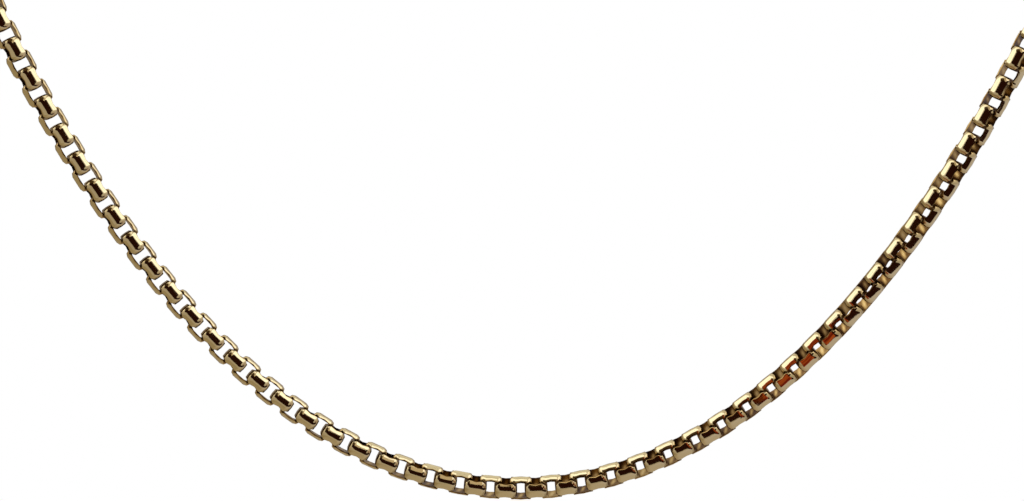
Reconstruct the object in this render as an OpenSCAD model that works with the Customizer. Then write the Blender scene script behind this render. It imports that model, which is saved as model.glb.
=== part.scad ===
// Rounded box chain necklace: domed square links, two jump rings and a plain clasp.
// Millimetres, +Z up, front towards -Y, origin at the nape where the necklace rests.

/* [Chain] */
// Width of the chain over the domed faces
chain_width = 3; // [2.8:0.1:3.2]
// Length of one link along the chain
link_length = 2.86; // [2.82:0.01:2.9]
// Thickness of the strip at the middle of a face
strip_thickness = 0.48; // [0.46:0.01:0.5]
// Thickness of the strip on the end walls, where two links hook together
end_thickness = 0.4; // [0.36:0.01:0.42]
// Width of the strip at its waist
strip_waist = 1.58; // [1.4:0.02:1.62]
// Play between the end walls of two links that are hooked together
link_play = 0.17; // [0.15:0.01:0.2]
// Radius of the half-round faces across the strip
dome_radius = 1.25; // [1.2:0.05:1.4]
// Rounding of a link's four outer corners
corner_round = 0.6; // [0.5:0.05:0.65]

/* [Hang] */
// Half width of the front curve where it turns back round the neck
front_half_width = 60; // [57:1:63]
// Size of the hanging curve at its lowest point, which is its radius there
hang_radius = 38.5; // [36:0.5:42]
// How far the front curve leans back from upright
chest_lean = 20; // [10:1:26]
// Distance from the nape forward to the lowest point
neck_depth = 111; // [108:1:114]
// Height of the nape over the lowest point
nape_height = 100; // [97:1:103]

/* [Fastening] */
// Wire of the jump rings
ring_wire = 0.8; // [0.7:0.05:0.8]
// Outer diameter of the jump rings
ring_outer = 4.6; // [4.5:0.1:4.8]
// Thickness of the clasp
clasp_thickness = 1.4; // [1.2:0.1:1.5]
// Width of the clasp's body
clasp_width = 4.2; // [4:0.1:5]

/* [Hidden] */
$fn = 36;
gold = [0.9, 0.77, 0.47];

// The link's three profiles
half_width = chain_width / 2;
half_length = link_length / 2;
dome_margin = 0.06;
dome_off = half_width - dome_radius;
corner_share = 0.29;
hole_corner = 0.08;
strip_flare = 1.84;
strip_end = 1.5;
waist_straight = 0.3;
flare_at = 0.84;
pitch = link_length - 2 * end_thickness - link_play;

// The hang: a catenary in a leaning plane, then a smooth run round the neck
lowest = [0, -neck_depth, -nape_height];
lean_up = [0, sin(chest_lean), cos(chest_lean)];
side_pull = 50;
nape_pull = 45;
nape = [0, 0, 0];
neck_centre = [0, -55, 0];
curve_steps = 90;
chain_shift = 0.3;

// Roll of the links about the chain, in degrees, at distances from the lowest point
roll_table = [
    [-230, 90], [-90, 78], [-75, 70], [-60, 59], [-45, 46], [-30, 31], [-20, 18], [-10, 5],
    [0, -2], [10, -4], [20, 0], [30, 5], [45, 4], [60, 2], [75, -5], [90, -3], [230, 0]
];

function unit(v) = v / norm(v);
function along(v, axis) = v - (v * axis) * axis;
function hyp_cos(u) = (exp(u) + exp(-u)) / 2;
function hyp_sin(u) = (exp(u) - exp(-u)) / 2;
function arc_hyp_sin(u) = ln(u + sqrt(u * u + 1));

front_length = hang_radius * hyp_sin(front_half_width / hang_radius);
function front_point(x) =
    lowest + [x, 0, 0] + lean_up * hang_radius * (hyp_cos(x / hang_radius) - 1);

side_start = front_point(front_half_width);
side_aim = unit([1, 0, 0] + lean_up * hyp_sin(front_half_width / hang_radius));
side_points = [side_start, side_start + side_pull * side_aim, nape + [nape_pull, 0, 0], nape];
function side_point(t) =
    pow(1 - t, 3) * side_points[0] + 3 * pow(1 - t, 2) * t * side_points[1]
    + 3 * (1 - t) * t * t * side_points[2] + pow(t, 3) * side_points[3];
function side_lengths(i = 0, sum = 0) =
    i > curve_steps ? []
    : let (step = i == 0 ? 0 : norm(side_point(i / curve_steps) - side_point((i - 1) / curve_steps)))
      concat([[sum + step, i / curve_steps]], side_lengths(i + 1, sum + step));
side_table = side_lengths();
side_length = side_table[curve_steps][0];
half_loop = front_length + side_length;

function half_point(s) =
    s < front_length ? front_point(hang_radius * arc_hyp_sin(s / hang_radius))
    : s <= half_loop ? side_point(lookup(s - front_length, side_table))
    : nape - [s - half_loop, 0, 0];
function mirrored(p) = [-p[0], p[1], p[2]];
function loop_point(s) = s < 0 ? mirrored(half_point(-s)) : half_point(s);
function loop_aim(s) = unit(loop_point(s + pitch / 2) - loop_point(s - pitch / 2));
function neck_normal(s) =
    let (from_centre = loop_point(s) - neck_centre)
    cos(chest_lean) * unit([from_centre[0], from_centre[1], 0]) + [0, 0, sin(chest_lean)];

// A frame on the loop: x is the rolled outward normal, z the way the chain runs
function loop_frame(s, turn) =
    let (
        run = loop_aim(s),
        outward = unit(along(neck_normal(s), run)),
        across = cross(outward, run),
        roll = lookup(s, roll_table) + turn,
        x = cos(roll) * outward + sin(roll) * across,
        y = cross(run, x),
        p = loop_point(s)
    )
    [[x[0], y[0], run[0], p[0]], [x[1], y[1], run[1], p[1]], [x[2], y[2], run[2], p[2]], [0, 0, 0, 1]];

// Links to each side of the lowest one, so that both ends meet their rings the same way round
clasp_reach = 8.5;
links_right = 2 * floor((half_loop - clasp_reach) / (2 * pitch));
links_left = links_right + 1;

// The jump rings and the clasp between the last links; the clasp lies on the straight line between the rings
ring_radius = (ring_outer - ring_wire) / 2;
ring_clear = 0.15;
ring_step = ring_outer / 2 - (pitch - half_length) + ring_clear;
ring_right_at = chain_shift + links_right * pitch + ring_step;
ring_left_at = chain_shift - links_left * pitch - ring_step;
ring_gap = 2 * half_loop - (ring_right_at - ring_left_at);
clasp_wall = 0.6;
clasp_wall_off = 0.7;
clasp_length = ring_gap - 2 * clasp_wall_off + clasp_wall;
clasp_at = ring_right_at + ring_gap / 2;
clasp_sink = (loop_point(ring_left_at) + loop_point(ring_right_at)) / 2 - loop_point(clasp_at);
clasp_eye = 1.5;
clasp_neck = 1.8;
bow_shoulder = 0.9;
clasp_dome = 5;

// Closes an outline from the points of its upper right quarter
function four_way(quarter) =
    let (n = len(quarter) - 1)
    concat(
        quarter,
        [for (i = [n : -1 : 0]) [-quarter[i][0], quarter[i][1]]],
        [for (i = [0 : n]) [-quarter[i][0], -quarter[i][1]]],
        [for (i = [n : -1 : 0]) [quarter[i][0], -quarter[i][1]]]
    );

// The strip seen square on to a face: waist, flare and narrower end
module strip_plan() {
    polygon(four_way([
        [strip_waist / 2, waist_straight],
        [strip_flare / 2, flare_at],
        [strip_end / 2, half_length]
    ]));
}

// The link seen through its opening
module link_side() {
    difference() {
        polygon(four_way([
            [half_width + dome_margin, half_length - corner_round],
            [half_width - corner_share * corner_round, half_length - corner_share * corner_round],
            [half_width - corner_round, half_length]
        ]));
        polygon(four_way([
            [half_width - strip_thickness, half_length - end_thickness - hole_corner],
            [half_width - strip_thickness - hole_corner, half_length - end_thickness]
        ]));
    }
}

// Three views of the link, each run through the other two
module link() {
    span = 2 * chain_width;
    intersection() {
        rotate([90, 0, 90])
            linear_extrude(height = span, center = true)
                link_side();
        rotate([90, 0, 0])
            linear_extrude(height = span, center = true)
                strip_plan();
        union() {
            for (side = [-1, 1])
                translate([0, side * dome_off, 0])
                    cylinder(r = dome_radius, h = span, center = true);
            cube([2 * dome_radius, 2 * dome_off, span], center = true);
        }
    }
}

module links(first, last) {
    color(gold)
        for (i = [first : last])
            multmatrix(loop_frame(chain_shift + i * pitch, 90 * (i % 2)))
                link();
}

module chain_left() {
    links(-links_left, -1);
}

module chain_right() {
    links(0, links_right);
}

module jump_ring(s) {
    color(gold)
        multmatrix(loop_frame(s, s < 0 ? 0 : 90))
            rotate([0, 90, 0])
                rotate_extrude()
                    translate([ring_radius, 0])
                        circle(d = ring_wire);
}

module jump_ring_left() {
    jump_ring(ring_left_at);
}

module jump_ring_right() {
    jump_ring(ring_right_at);
}

// A plain closed lobster shape: a round bow, a tapering body and a small eye, domed both sides
module clasp_body() {
    thick = 2 * clasp_thickness;
    bow = clasp_width / 2;
    eye = clasp_eye / 2 + clasp_wall;
    bow_at = bow - clasp_length / 2;
    eye_at = clasp_length / 2 - eye;
    difference() {
        union() {
            translate([0, bow_at, 0])
                cylinder(r = bow, h = thick, center = true);
            translate([0, eye_at, 0])
                cylinder(r = eye, h = thick, center = true);
            linear_extrude(height = thick, center = true)
                polygon([
                    [-bow_shoulder * bow, bow_at], [-clasp_neck / 2, eye_at],
                    [clasp_neck / 2, eye_at], [bow_shoulder * bow, bow_at]
                ]);
        }
        translate([0, bow_at, 0])
            cylinder(r = bow - clasp_wall, h = 2 * thick, center = true);
        translate([0, eye_at, 0])
            cylinder(d = clasp_eye, h = 2 * thick, center = true);
    }
}

module clasp() {
    color(gold)
        translate(clasp_sink)
            multmatrix(loop_frame(clasp_at, 0))
                intersection() {
                    rotate([90, 0, 90])
                        clasp_body();
                    intersection_for(side = [-1, 1])
                        translate([side * (clasp_dome - clasp_thickness / 2), 0, 0])
                            cylinder(r = clasp_dome, h = 2 * clasp_length, center = true);
                }
}

chain_left();
chain_right();
jump_ring_left();
jump_ring_right();
clasp();
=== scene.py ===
import math

import bmesh
import bpy
import numpy as np
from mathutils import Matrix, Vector


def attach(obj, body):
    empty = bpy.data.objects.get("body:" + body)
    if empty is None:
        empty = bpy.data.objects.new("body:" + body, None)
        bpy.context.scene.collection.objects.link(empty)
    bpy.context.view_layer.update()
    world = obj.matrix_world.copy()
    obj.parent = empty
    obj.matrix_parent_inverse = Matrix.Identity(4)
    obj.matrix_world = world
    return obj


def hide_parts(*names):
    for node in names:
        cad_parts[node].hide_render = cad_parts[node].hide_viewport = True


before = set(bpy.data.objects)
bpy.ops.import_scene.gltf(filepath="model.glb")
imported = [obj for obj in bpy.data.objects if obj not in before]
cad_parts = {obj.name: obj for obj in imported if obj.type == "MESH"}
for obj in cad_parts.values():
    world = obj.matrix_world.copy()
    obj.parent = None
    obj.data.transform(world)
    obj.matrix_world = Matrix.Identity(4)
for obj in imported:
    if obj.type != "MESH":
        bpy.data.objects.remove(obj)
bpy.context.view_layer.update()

# A rounded box chain necklace. Geometry Nodes set a domed link on the place of each CAD link,
# and the CAD jump rings and clasp get the same gold. A light tent gives the reflections.

mm = 0.001
white = (1, 1, 1)


def newMesh(name, bm):
    mesh = bpy.data.meshes.new(name)
    bmesh.ops.recalc_face_normals(bm, faces=bm.faces)
    for face in bm.faces:
        face.smooth = True
    bm.to_mesh(mesh)
    bm.free()
    return mesh


def addObject(name, data):
    obj = bpy.data.objects.new(name, data)
    bpy.context.collection.objects.link(obj)
    return obj


# A closed skin over a closed row of closed rings; sharp names the points whose lines stay hard
def skinRings(bm, rings, sharp):
    rows = [[bm.verts.new(p) for p in ring] for ring in rings]
    count = len(rows[0])
    for a, b in zip(rows, rows[1:] + rows[:1]):
        for k in range(count):
            bm.faces.new((a[k], a[(k + 1) % count], b[(k + 1) % count], b[k]))
        for k in sharp:
            bm.edges.get((a[k], b[k])).smooth = False


# A math node; a source is a number or the socket that feeds it
def mathNode(tree, operation, *sources):
    node = tree.nodes.new("ShaderNodeMath")
    node.operation = operation
    for socket, source in zip(node.inputs, sources):
        if isinstance(source, (int, float)):
            socket.default_value = source
        else:
            tree.links.new(source, socket)
    return node.outputs[0]


# Spreads a value from one range to another
def rangeNode(tree, value, given, wanted=(0, 1)):
    node = tree.nodes.new("ShaderNodeMapRange")
    for name, number in zip(("From Min", "From Max", "To Min", "To Max"), (*given, *wanted)):
        node.inputs[name].default_value = number
    tree.links.new(value, node.inputs["Value"])
    return node.outputs["Result"]


# A colour ramp on a value; each stop has its place and its colour
def rampNode(tree, value, stops):
    node = tree.nodes.new("ShaderNodeValToRGB")
    elements = node.color_ramp.elements
    while len(elements) < len(stops):
        elements.new(0.5)                           # anywhere: the stop's place is set next
    for element, (at, colour) in zip(elements, stops):
        element.position = at
        element.color = (*colour, 1)
    tree.links.new(value, node.inputs["Fac"])
    return node.outputs["Color"]


def noiseNode(tree, place, scale, detail):
    node = tree.nodes.new("ShaderNodeTexNoise")
    node.inputs["Scale"].default_value = scale
    node.inputs["Detail"].default_value = detail
    tree.links.new(place.outputs["Object"], node.inputs["Vector"])
    return node.outputs["Fac"]


def attributeNode(tree, name):
    node = tree.nodes.new("ShaderNodeAttribute")
    node.attribute_name = name
    return node.outputs["Fac"]


# Where the links are, read from the CAD chain
places = {
    "nodes": {"chainLeft": "chain_left", "chainRight": "chain_right"},
    "mergeWithin": 0.002 * mm,    # the CAD meshes are loose triangles
    "neckMiddle": 55 * mm,        # in front of the nape; the links are sorted round it
    "runCarry": 0.5,              # share of the last change of direction added at the chain's ends
}


# The middle and the hole's axis of each loose solid: a link's faces look least along its hole
def looseSolids(node):
    bm = bmesh.new()
    bm.from_mesh(bpy.data.objects[node].data)
    bmesh.ops.remove_doubles(bm, verts=bm.verts, dist=places["mergeWithin"])
    bm.verts.ensure_lookup_table()
    seen, solids = set(), []
    for start in bm.verts:
        if start.index in seen:
            continue
        seen.add(start.index)
        queue, faces = [start], set()
        while queue:
            vert = queue.pop()
            faces.update(vert.link_faces)
            for edge in vert.link_edges:
                other = edge.other_vert(vert)
                if other.index not in seen:
                    seen.add(other.index)
                    queue.append(other)
        areas = np.array([f.calc_area() for f in faces])
        middles = np.array([f.calc_center_median() for f in faces])
        normals = np.array([f.normal for f in faces])
        centre = (areas[:, None] * middles).sum(0) / areas.sum()
        spread = np.einsum("i,ij,ik->jk", areas, normals, normals)
        solids.append((Vector(centre), Vector(np.linalg.eigh(spread)[1][:, 0])))
    bm.free()
    return solids


def roundTheNeck(place):
    return math.atan2(place.x, -(place.y + places["neckMiddle"]))


# The run of the chain's first or last link, which has a neighbour on one side only
def carriedOn(near, far):
    return (1 + places["runCarry"]) * near - places["runCarry"] * far


linkPlaces = []
for node in places["nodes"].values():
    linkPlaces += [(centre, hole, node) for centre, hole in looseSolids(node)]
linkPlaces.sort(key=lambda link: roundTheNeck(link[0]))
centres = [link[0] for link in linkPlaces]
lowest = min(centres, key=lambda centre: centre.z)
linkRuns = [b - a for a, b in zip(centres, centres[2:])]
linkRuns.insert(0, carriedOn(linkRuns[0], linkRuns[1]))
linkRuns.append(carriedOn(linkRuns[-1], linkRuns[-2]))
print("links found:", len(linkPlaces))


# One link: a strip bent square, domed outside and waisted on its faces
linkSizes = {
    "width": 3.0 * mm,            # over the two domed faces
    "length": 2.86 * mm,
    "dome": 1.2 * mm,             # radius of the domed faces across the strip
    "wall": 0.50 * mm,            # thickness of the strip at the middle of a face
    "endWall": 0.40 * mm,
    "waist": 1.60 * mm,           # width of the strip at the middle of a face
    "flare": 1.86 * mm,           # where it runs into its corners
    "end": 1.30 * mm,             # on the end walls
    "flareAt": 0.90 * mm,         # from the middle of the link
    "outerRound": 0.60 * mm,
    "innerRound": 0.44 * mm,      # small enough to leave room for the next link's end wall
    "roundSteps": 2,              # faces round each corner
    "flatShare": 0.82,            # of the straight part, before the face turns into its corner
    "edgeRound": 0.05 * mm,       # the polished edge between a face and a side
    "innerCrown": 0.05,           # how much of the dome the inner walls follow
    "endDome": 0.3,               # how much of the dome the end walls have
    "domeRows": [0, 1],           # shares of a face's half width where its lines run
    # The inside mask is tarnish and painted shade: darker on the sides, at the inner edges, in the
    # hollows and where links meet
    "sideTarnishShade": 0.75,          # tarnish and painted shade on the strip's sides, at the outer edge
    "rimTarnishShade": 0.85,           # and at the inner edge, where it paints a dark line of shade
    "wallTarnishShade": 0.45,          # tarnish and painted shade on the inner walls, away from their corners
    "cornerPaintedShade": 2,           # painted shade added towards the inner corners
    "endTarnishShade": 0.85,           # tarnish and painted shade on the end walls, where two links meet
    "endFade": 4,                 # how quickly it fades round the corner to the face
}


def easeBetween(a, b, t):
    t = min(max(t, 0), 1)
    return a + (b - a) * t * t * (3 - 2 * t)


def stripHalfWidth(z, size):
    z = abs(z)
    if z < size["flareAt"]:
        return easeBetween(size["waist"], size["flare"], z / size["flareAt"]) / 2
    reach = size["length"] / 2 - size["flareAt"]
    return easeBetween(size["flare"], size["end"], (z - size["flareAt"]) / reach) / 2


# Stations round the link seen through its opening: outer point, inner point and outward direction
def linkOutline(size):
    halfWidth, halfLength = size["width"] / 2, size["length"] / 2
    wall, endWall = size["wall"], size["endWall"]
    outer, inner = size["outerRound"], size["innerRound"]
    straight, innerStraight = halfLength - outer, halfLength - endWall - inner
    quarter = []
    for share in (0, size["flatShare"]):
        quarter.append(((halfWidth, share * straight),
                        (halfWidth - wall, share * innerStraight), (1, 0)))
    for k in range(size["roundSteps"] + 1):
        turn = math.pi / 2 * k / size["roundSteps"]
        c, s = math.cos(turn), math.sin(turn)
        quarter.append(((halfWidth + outer * (c - 1), straight + outer * s),
                        (halfWidth - wall + inner * (c - 1), innerStraight + inner * s), (c, s)))
    top = [((0, halfLength), (0, halfLength - endWall), (0, 1))]
    left = [tuple((-a, b) for a, b in station) for station in reversed(quarter)]
    half = quarter + top + left
    return half + [tuple((a, -b) for a, b in station) for station in reversed(half)][1:-1]


def buildLink(size):
    dome, rows = size["dome"], size["domeRows"]
    edge, crown = size["edgeRound"], size["innerCrown"]
    innerArea = (size["width"] / 2 - size["wall"]) * size["length"] / 2
    rings, shares = [], []
    for outer, inner, out in linkOutline(size):
        half = stripHalfWidth(outer[1], size)
        # Shares of tarnish and painted shade: end walls, sides, inner edges, inner walls and,
        # most, the inner corners
        outside = size["endTarnishShade"] * out[1] ** size["endFade"]
        side = max(outside, size["sideTarnishShade"])
        rim = size["rimTarnishShade"]
        corner = size["cornerPaintedShade"] * abs(inner[0] * inner[1]) / innerArea
        depth = min(1, size["wallTarnishShade"] + corner)
        shares += [outside] * len(rows) + [side, rim, depth, rim, side]
        shares += [outside] * (len(rows) - 1)
        domed = size["endDome"] + (1 - size["endDome"]) * out[0] * out[0]

        def section(x, base, share, sink=0):        # a point of the strip, x off its middle line
            sink += share * domed * (dome - math.sqrt(dome * dome - x * x))
            return Vector((x, base[0] - out[0] * sink, base[1] - out[1] * sink))

        right = [section((half - edge) * row, outer, 1) for row in rows]
        right += [section(half, outer, 1, edge), section(half, inner, crown)]
        left = [Vector((-p.x, p.y, p.z)) for p in reversed(right[1:])]
        rings.append(right + [section(0, inner, crown)] + left)
    bm = bmesh.new()
    skinRings(bm, rings, (len(rows) + 1, len(rows) + 3))        # the strip's inner edges are hard
    mesh = newMesh("boxLink", bm)
    # The mask of tarnish and painted shade, darkest in the hollows and where links meet
    tarnishAndShade = mesh.attributes.new("inside", "FLOAT", "POINT")   # 0 on the faces, 1 in the corners
    tarnishAndShade.data.foreach_set("value", shares)
    return mesh


# The chain: Geometry Nodes set a link on each point, turned by the point's two directions
chainValues = {
    "linkScale": 1.0,
    "seed": 7,                    # of the number that varies each link's tarnish and painted shade
    "levelTie": 0.01,             # a level hole's axis points back, any other up
}


def chainTree(name):
    tree = bpy.data.node_groups.new(name, "GeometryNodeTree")
    for socket, kind in (("Points", "Geometry"), ("Link", "Object"), ("Link Scale", "Float"),
                         ("Seed", "Int"), ("Metal", "Material")):
        tree.interface.new_socket(socket, in_out="INPUT", socket_type="NodeSocket" + kind)
    tree.interface.new_socket("Chain", in_out="OUTPUT", socket_type="NodeSocketGeometry")
    nodes, links = tree.nodes, tree.links
    given, result = nodes.new("NodeGroupInput"), nodes.new("NodeGroupOutput")

    run, hole = [nodes.new("GeometryNodeInputNamedAttribute") for k in range(2)]
    for direction, attribute in ((run, "linkRun"), (hole, "linkHole")):
        direction.data_type = "FLOAT_VECTOR"
        direction.inputs["Name"].default_value = attribute
    alongRun = nodes.new("FunctionNodeAlignRotationToVector")
    alongRun.axis = "Z"
    links.new(run.outputs["Attribute"], alongRun.inputs["Vector"])
    aboutRun = nodes.new("FunctionNodeAlignRotationToVector")
    aboutRun.axis = "X"
    aboutRun.pivot_axis = "Z"
    links.new(alongRun.outputs["Rotation"], aboutRun.inputs["Rotation"])
    links.new(hole.outputs["Attribute"], aboutRun.inputs["Vector"])

    linkInfo = nodes.new("GeometryNodeObjectInfo")
    links.new(given.outputs["Link"], linkInfo.inputs["Object"])
    onPoints = nodes.new("GeometryNodeInstanceOnPoints")
    links.new(given.outputs["Points"], onPoints.inputs["Points"])
    links.new(linkInfo.outputs["Geometry"], onPoints.inputs["Instance"])
    links.new(aboutRun.outputs["Rotation"], onPoints.inputs["Rotation"])
    links.new(given.outputs["Link Scale"], onPoints.inputs["Scale"])

    chance = nodes.new("FunctionNodeRandomValue")
    links.new(given.outputs["Seed"], chance.inputs["Seed"])
    store = nodes.new("GeometryNodeStoreNamedAttribute")
    store.data_type = "FLOAT"
    store.domain = "INSTANCE"
    store.inputs["Name"].default_value = "linkChance"
    links.new(onPoints.outputs["Instances"], store.inputs["Geometry"])
    links.new(chance.outputs[1], store.inputs["Value"])

    realize = nodes.new("GeometryNodeRealizeInstances")
    links.new(store.outputs["Geometry"], realize.inputs["Geometry"])
    setMetal = nodes.new("GeometryNodeSetMaterial")
    links.new(realize.outputs["Geometry"], setMetal.inputs["Geometry"])
    links.new(given.outputs["Metal"], setMetal.inputs["Material"])
    links.new(setMetal.outputs["Geometry"], result.inputs["Chain"])
    return tree


# A modifier's input is set by its socket's identifier
def setInput(modifier, name, value):
    for item in modifier.node_group.interface.items_tree:
        if item.item_type == "SOCKET" and item.in_out == "INPUT" and item.name == name:
            modifier[item.identifier] = value


# What the modifier makes, as a plain mesh
def bakedMesh(obj, name):
    bpy.context.view_layer.update()
    depsgraph = bpy.context.evaluated_depsgraph_get()
    mesh = bpy.data.meshes.new_from_object(obj.evaluated_get(depsgraph), depsgraph=depsgraph)
    mesh.name = name
    return mesh


def buildChain(name, node, linkObject, metal, tree, values):
    chosen = [k for k, link in enumerate(linkPlaces) if link[2] == node]
    points = bpy.data.meshes.new(name + "Points")
    points.from_pydata([centres[k] for k in chosen], [], [])
    run = points.attributes.new("linkRun", "FLOAT_VECTOR", "POINT")
    hole = points.attributes.new("linkHole", "FLOAT_VECTOR", "POINT")
    for place, k in enumerate(chosen):
        along = linkRuns[k].normalized()
        across = linkPlaces[k][1]
        across = (across - along * across.dot(along)).normalized()
        if across.z + values["levelTie"] * across.y < 0:
            across = -across
        run.data[place].vector = along
        hole.data[place].vector = across
    obj = addObject(name, points)
    modifier = obj.modifiers.new("links", "NODES")
    modifier.node_group = tree
    setInput(modifier, "Link", linkObject)
    setInput(modifier, "Link Scale", values["linkScale"])
    setInput(modifier, "Seed", values["seed"])
    setInput(modifier, "Metal", metal)
    mesh = bakedMesh(obj, name)
    obj.modifiers.remove(modifier)
    obj.data = mesh
    bpy.data.meshes.remove(points)
    return obj


# Polished gold, worn and tarnished, with painted shade in its hollows and where links meet
goldLook = {
    "tarnishShadeStops": [             # share of tarnish and painted shade, and its colour: amber tarnish, then near black painted shade
        (0.00, (0.90, 0.77, 0.47)),
        (0.50, (0.56, 0.38, 0.14)),
        (0.78, (0.19, 0.10, 0.03)),
        (1.00, (0.06, 0.024, 0.012)),
    ],
    "rubbed": 0.05,               # roughness all over
    "smudge": 0.07,               # and more of it in smudges
    # strength of the tarnish and painted shade
    "tarnishAndShade": 1.0,
}
wear = {
    "smudgeScale": 420,           # of the noise, as in all the scales here
    "smudgeDetail": 3,
    "insideRough": 0.15,          # added where the tarnish and painted shade lie
    "patchScale": 900,
    "patchDetail": 4,
    "patchNoise": (0.25, 0.75),   # noise from which and to which a patch deepens
    "patchShare": (0.8, 1.0),     # of the tarnish and painted shade, outside and inside a patch
    "linkSpread": 0.4,            # each link's tarnish and painted shade are a little more or less
    "linkLeast": 0.8,
    "rubScale": 5200,
    "rubDetail": 2,
    "rubStrength": 0.12,
    "rubDepth": 0.004 * mm,
}


# Smudges, fine rubbing, and tarnish with painted shade, shared by every gold piece
def wornMetalGroup(size):
    group = bpy.data.node_groups.new("wornMetal", "ShaderNodeTree")
    for name in ("Inside", "Chance", "Rubbed", "Smudge", "Tarnish And Shade"):
        group.interface.new_socket(name, in_out="INPUT", socket_type="NodeSocketFloat")
    for name, kind in (("Tarnish And Shade Mask", "Float"), ("Roughness", "Float"), ("Normal", "Vector")):
        group.interface.new_socket(name, in_out="OUTPUT", socket_type="NodeSocket" + kind)
    nodes, links = group.nodes, group.links
    given, result = nodes.new("NodeGroupInput"), nodes.new("NodeGroupOutput")
    place = nodes.new("ShaderNodeTexCoord")
    inside, chance = given.outputs["Inside"], given.outputs["Chance"]

    smudge = noiseNode(group, place, size["smudgeScale"], size["smudgeDetail"])
    smudgeShare = mathNode(group, "MULTIPLY", smudge, given.outputs["Smudge"])
    rough = mathNode(group, "ADD", smudgeShare, given.outputs["Rubbed"])
    roughness = mathNode(group, "MULTIPLY_ADD", inside, size["insideRough"], rough)
    links.new(roughness, result.inputs["Roughness"])

    # The mask of tarnish and painted shade, varied in patches and from link to link
    patch = noiseNode(group, place, size["patchScale"], size["patchDetail"])
    patchShare = rangeNode(group, patch, size["patchNoise"], size["patchShare"])
    dull = mathNode(group, "MULTIPLY", patchShare, inside)
    linkShare = mathNode(group, "MULTIPLY_ADD", chance, size["linkSpread"], size["linkLeast"])
    strength = mathNode(group, "MULTIPLY", linkShare, given.outputs["Tarnish And Shade"])
    links.new(mathNode(group, "MULTIPLY", dull, strength), result.inputs["Tarnish And Shade Mask"])

    bump = nodes.new("ShaderNodeBump")
    bump.inputs["Strength"].default_value = size["rubStrength"]
    bump.inputs["Distance"].default_value = size["rubDepth"]
    rub = noiseNode(group, place, size["rubScale"], size["rubDetail"])
    links.new(rub, bump.inputs["Height"])
    links.new(bump.outputs["Normal"], result.inputs["Normal"])
    return group


def buildGold(name, look, group):
    material = bpy.data.materials.new(name)
    material.use_nodes = True
    tree = material.node_tree
    shader = tree.nodes["Principled BSDF"]
    shader.inputs["Metallic"].default_value = 1
    worn = tree.nodes.new("ShaderNodeGroup")
    worn.node_tree = group
    tree.links.new(attributeNode(tree, "inside"), worn.inputs["Inside"])
    tree.links.new(attributeNode(tree, "linkChance"), worn.inputs["Chance"])
    worn.inputs["Rubbed"].default_value = look["rubbed"]
    worn.inputs["Smudge"].default_value = look["smudge"]
    worn.inputs["Tarnish And Shade"].default_value = look["tarnishAndShade"]
    # The gold darkens to amber tarnish, then to near black painted shade in the hollows
    tint = rampNode(tree, worn.outputs["Tarnish And Shade Mask"], look["tarnishShadeStops"])
    tree.links.new(tint, shader.inputs["Base Color"])
    tree.links.new(worn.outputs["Roughness"], shader.inputs["Roughness"])
    tree.links.new(worn.outputs["Normal"], shader.inputs["Normal"])
    return material


gold = buildGold("paleGold", goldLook, wornMetalGroup(wear))
linkObject = addObject("boxLink", buildLink(linkSizes))
tree = chainTree("linksOnPoints")
for name, node in places["nodes"].items():
    chain = buildChain(name, node, linkObject, gold, tree, chainValues)
    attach(chain, "root")
    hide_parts(node)
    print(name, "faces:", len(chain.data.polygons))
bpy.data.objects.remove(linkObject)
for node in ("jump_ring_left", "jump_ring_right", "clasp"):
    cadObject = bpy.data.objects[node]
    cadObject.data.materials.clear()
    cadObject.data.materials.append(gold)


# The camera looks down on the front curve, which leans back as on a chest
cameraSizes = {
    "lens": 63.28,                # for the sensor below
    "sensor": 36,
    "clipStart": 1 * mm,
    "lookDown": math.radians(34.17),
    "chestLean": math.radians(20),
    "distance": 215.9 * mm,
    "rise": 30.39 * mm,           # from the lowest link up the curve's plane to the view's middle
    "aside": -1.10 * mm,          # and along X
}

camera = addObject("camera", bpy.data.cameras.new("camera"))
camera.data.lens = cameraSizes["lens"]
camera.data.sensor_width = cameraSizes["sensor"]
camera.data.clip_start = cameraSizes["clipStart"]
lean, down, rise = cameraSizes["chestLean"], cameraSizes["lookDown"], cameraSizes["rise"]
viewRight = Vector((1, 0, 0))
viewUp = Vector((0, math.sin(down), math.cos(down)))
towardsCamera = Vector((0, -math.cos(down), math.sin(down)))
aim = lowest + Vector((cameraSizes["aside"], math.sin(lean) * rise, math.cos(lean) * rise))
camera.location = aim + cameraSizes["distance"] * towardsCamera
camera.rotation_euler = (math.pi / 2 - down, 0, 0)
bpy.context.scene.camera = camera
bpy.context.scene.view_settings.view_transform = "Standard"
print("camera at", [round(v, 4) for v in camera.location])


# A plain glow, for the studio's floor and the panels of its light tent
def glowMaterial(name, colour):
    material = bpy.data.materials.new(name)
    material.use_nodes = True
    nodes, links = material.node_tree.nodes, material.node_tree.links
    nodes.clear()
    glow = nodes.new("ShaderNodeEmission")
    glow.inputs["Color"].default_value = (*colour, 1)
    glow.inputs["Strength"].default_value = 1
    links.new(glow.outputs[0], nodes.new("ShaderNodeOutputMaterial").inputs["Surface"])
    return material


# White to the camera, the given colour in the metal
def whiteToCamera(tree, colour, target):
    path = tree.nodes.new("ShaderNodeLightPath")
    pick = tree.nodes.new("ShaderNodeMix")
    pick.data_type = "RGBA"
    pick.inputs["B"].default_value = (*white, 1)
    tree.links.new(colour, pick.inputs["A"])
    tree.links.new(path.outputs["Is Camera Ray"], pick.inputs["Factor"])
    tree.links.new(pick.outputs["Result"], target)


floorSizes = {
    "drop": 150 * mm,             # below the lowest link
    "side": 8.0,
    "blend": 260 * mm,            # to each side of the middle
    "colours": [                  # from left to right
        (0.0, (0.31, 0.25, 0.16)),
        (0.5, (0.41, 0.345, 0.27)),
        (1.0, (0.46, 0.42, 0.42)),
    ],
}


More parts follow.
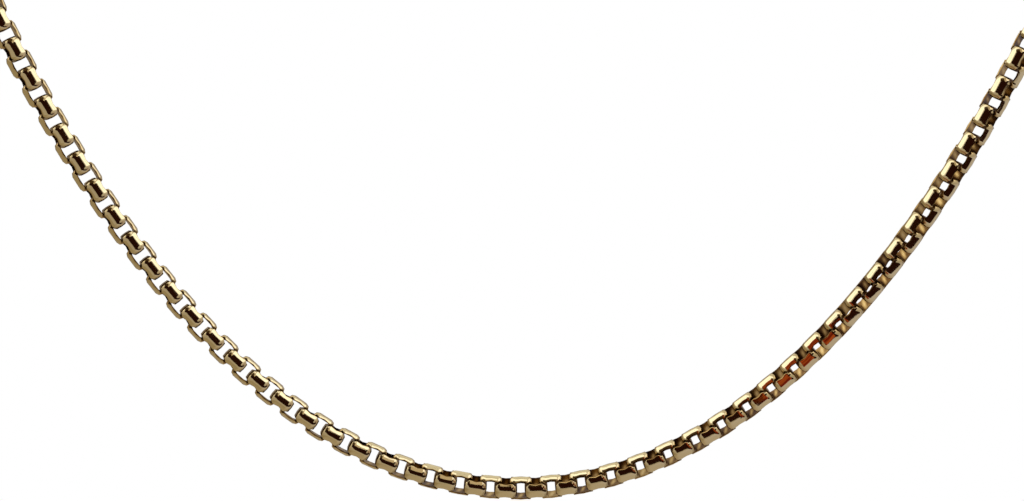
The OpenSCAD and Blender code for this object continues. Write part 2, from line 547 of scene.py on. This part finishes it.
def buildFloor(size):
    half, z = size["side"] / 2, lowest.z - size["drop"]
    mesh = bpy.data.meshes.new("floor")
    mesh.from_pydata([(-half, -half, z), (half, -half, z), (half, half, z), (-half, half, z)],
                     [], [(0, 1, 2, 3)])
    material = glowMaterial("paleFloor", white)
    tree = material.node_tree
    place = tree.nodes.new("ShaderNodeTexCoord")
    across = tree.nodes.new("ShaderNodeSeparateXYZ")
    tree.links.new(place.outputs["Object"], across.inputs["Vector"])
    share = rangeNode(tree, across.outputs["X"], (-size["blend"], size["blend"]))
    colour = rampNode(tree, share, size["colours"])
    whiteToCamera(tree, colour, tree.nodes["Emission"].inputs["Color"])
    mesh.materials.append(material)
    floor = addObject("floor", mesh)


# The sky's light from the bottom of the view to its top
skyStops = [
    (0.00, (0.40, 0.34, 0.27)),
    (0.30, (0.38, 0.33, 0.27)),
    (0.50, (0.42, 0.37, 0.31)),
    (0.68, (0.62, 0.58, 0.52)),
    (0.80, (0.70, 0.67, 0.61)),
    (1.00, (0.66, 0.63, 0.56)),
]


def buildSky(stops):
    world = bpy.data.worlds.new("studio")
    bpy.context.scene.world = world
    world.use_nodes = True
    tree = world.node_tree
    place = tree.nodes.new("ShaderNodeTexCoord")
    height = tree.nodes.new("ShaderNodeVectorMath")
    height.operation = "DOT_PRODUCT"
    height.inputs[1].default_value = viewUp
    tree.links.new(place.outputs["Generated"], height.inputs[0])
    share = rangeNode(tree, height.outputs["Value"], (-1, 1))
    colour = rampNode(tree, share, stops)
    whiteToCamera(tree, colour, tree.nodes["Background"].inputs["Color"])


# The tent's panels, unseen by the camera: corners in degrees right and up of the way to it
panels = {
    "darkPanel": {
        "colour": (0.016, 0.004, 0.002),
        "corners": [(2, 27), (8, 14), (16, 13), (30, 27), (44, 31), (51, 22), (40, 8), (26, -6),
                    (24, -14), (34, -18), (52, -22), (74, -27), (79, -38), (70, -47), (50, -47),
                    (34, -44), (20, -40), (8, -33), (-6, -27), (-12, -14), (-24, -4), (-40, 6),
                    (-50, 18), (-44, 32), (-24, 34), (-8, 30)],
    },
    "dimPanel": {
        "colour": (0.06, 0.036, 0.016),
        "corners": [(-44, 32), (-24, 34), (-8, 30), (2, 27), (3, 62), (-14, 68), (-36, 68),
                    (-48, 60), (-53, 46)],
    },
    "tanPanel": {
        "colour": (0.52, 0.42, 0.30),
        "corners": [(2, 27), (8, 14), (16, 13), (26, 26), (28, 46), (26, 64), (3, 62)],
    },
    "brightRight": {
        "colour": (1.35, 1.33, 1.35),
        "corners": [(28, 31), (46, 33), (66, 32), (92, 48), (104, 78), (94, 100), (62, 98),
                    (40, 94), (29, 64)],
    },
    "brightLeft": {
        "colour": (1.35, 1.33, 1.32),
        "corners": [(-57, 28), (-55, 46), (-49, 62), (-38, 72), (-12, 74), (14, 72), (14, 92),
                    (-8, 104), (-50, 108), (-92, 102), (-112, 78), (-100, 42), (-78, 22)],
    },
}
tent = {
    "radius": 235 * mm,           # about the middle of the view
    "cuts": 3,                    # in each edge, so that a panel bends with the tent
}


def onTent(right, up):
    angle, turn = math.radians(math.hypot(right, up)), math.atan2(up, right)
    side = viewRight * math.cos(turn) + viewUp * math.sin(turn)
    return aim + tent["radius"] * (towardsCamera * math.cos(angle) + side * math.sin(angle))


def addReflector(name, mesh, material):
    mesh.materials.append(material)
    obj = addObject(name, mesh)
    obj.visible_camera = False


def buildPanel(name, panel):
    bm = bmesh.new()
    bm.faces.new([bm.verts.new((right, up, 0)) for right, up in panel["corners"]])
    bmesh.ops.triangulate(bm, faces=bm.faces)
    bmesh.ops.subdivide_edges(bm, edges=bm.edges, cuts=tent["cuts"], use_grid_fill=True)
    for vert in bm.verts:
        vert.co = onTent(vert.co.x, vert.co.y)
    mesh = bpy.data.meshes.new(name)
    bm.to_mesh(mesh)
    bm.free()
    addReflector(name, mesh, glowMaterial(name, panel["colour"]))


# A warm reflector that stands well off the chain and shows only in the faces of a few links
warmCard = {
    "from": 27.7 * mm,            # along X, the links that it serves
    "to": 39.0 * mm,
    "depth": 30 * mm,             # back from the lowest link
    "radius": 28 * mm,            # from each of those links
    "turns": range(-60, 63, 8),   # degrees of an arc about each link
    "rise": [0.08, 0.25, 0.8],    # share of its light at its first links, 1 at the others
    "colours": [                  # noise and the colour it gives
        (0.4, (0.36, 0.07, 0.014)),
        (0.6, (0.13, 0.010, 0.004)),
    ],
    "noiseScale": 110,
    "noiseDetail": 2,
}


# Each row of points is the arc that one link reflects to the camera
def buildWarmCard(card):
    chosen = [k for k, c in enumerate(centres)
              if card["from"] < c.x < card["to"] and c.y < lowest.y + card["depth"]]
    points, faces = [], []
    for k in chosen:
        run = linkRuns[k].normalized()
        view = (camera.location - centres[k]).normalized()
        along = view.dot(run)
        square = (view - along * run).normalized()
        spread = math.sqrt(1 - along * along)
        side = square.cross(run) * spread
        for turn in card["turns"]:
            angle = math.radians(turn)
            way = spread * math.cos(angle) * square + math.sin(angle) * side - along * run
            points.append(centres[k] + card["radius"] * way)
    rows = len(card["turns"])
    for a in range(len(chosen) - 1):
        for k in range(a * rows, (a + 1) * rows - 1):
            faces.append((k, k + 1, k + rows + 1, k + rows))
    mesh = bpy.data.meshes.new("warmCard")
    mesh.from_pydata(points, [], faces)
    shares = card["rise"] + [1] * (len(chosen) - len(card["rise"]))
    light = mesh.attributes.new("cardLight", "FLOAT", "POINT")
    light.data.foreach_set("value", [share for share in shares for turn in card["turns"]])

    material = glowMaterial("warmCard", white)
    tree = material.node_tree
    glow = tree.nodes["Emission"]
    place = tree.nodes.new("ShaderNodeTexCoord")
    mottle = noiseNode(tree, place, card["noiseScale"], card["noiseDetail"])
    tree.links.new(rampNode(tree, mottle, card["colours"]), glow.inputs["Color"])
    tree.links.new(attributeNode(tree, "cardLight"), glow.inputs["Strength"])
    addReflector("warmCard", mesh, material)


buildFloor(floorSizes)
buildSky(skyStops)
for name, panel in panels.items():
    buildPanel(name, panel)
buildWarmCard(warmCard)
print("studio ready")
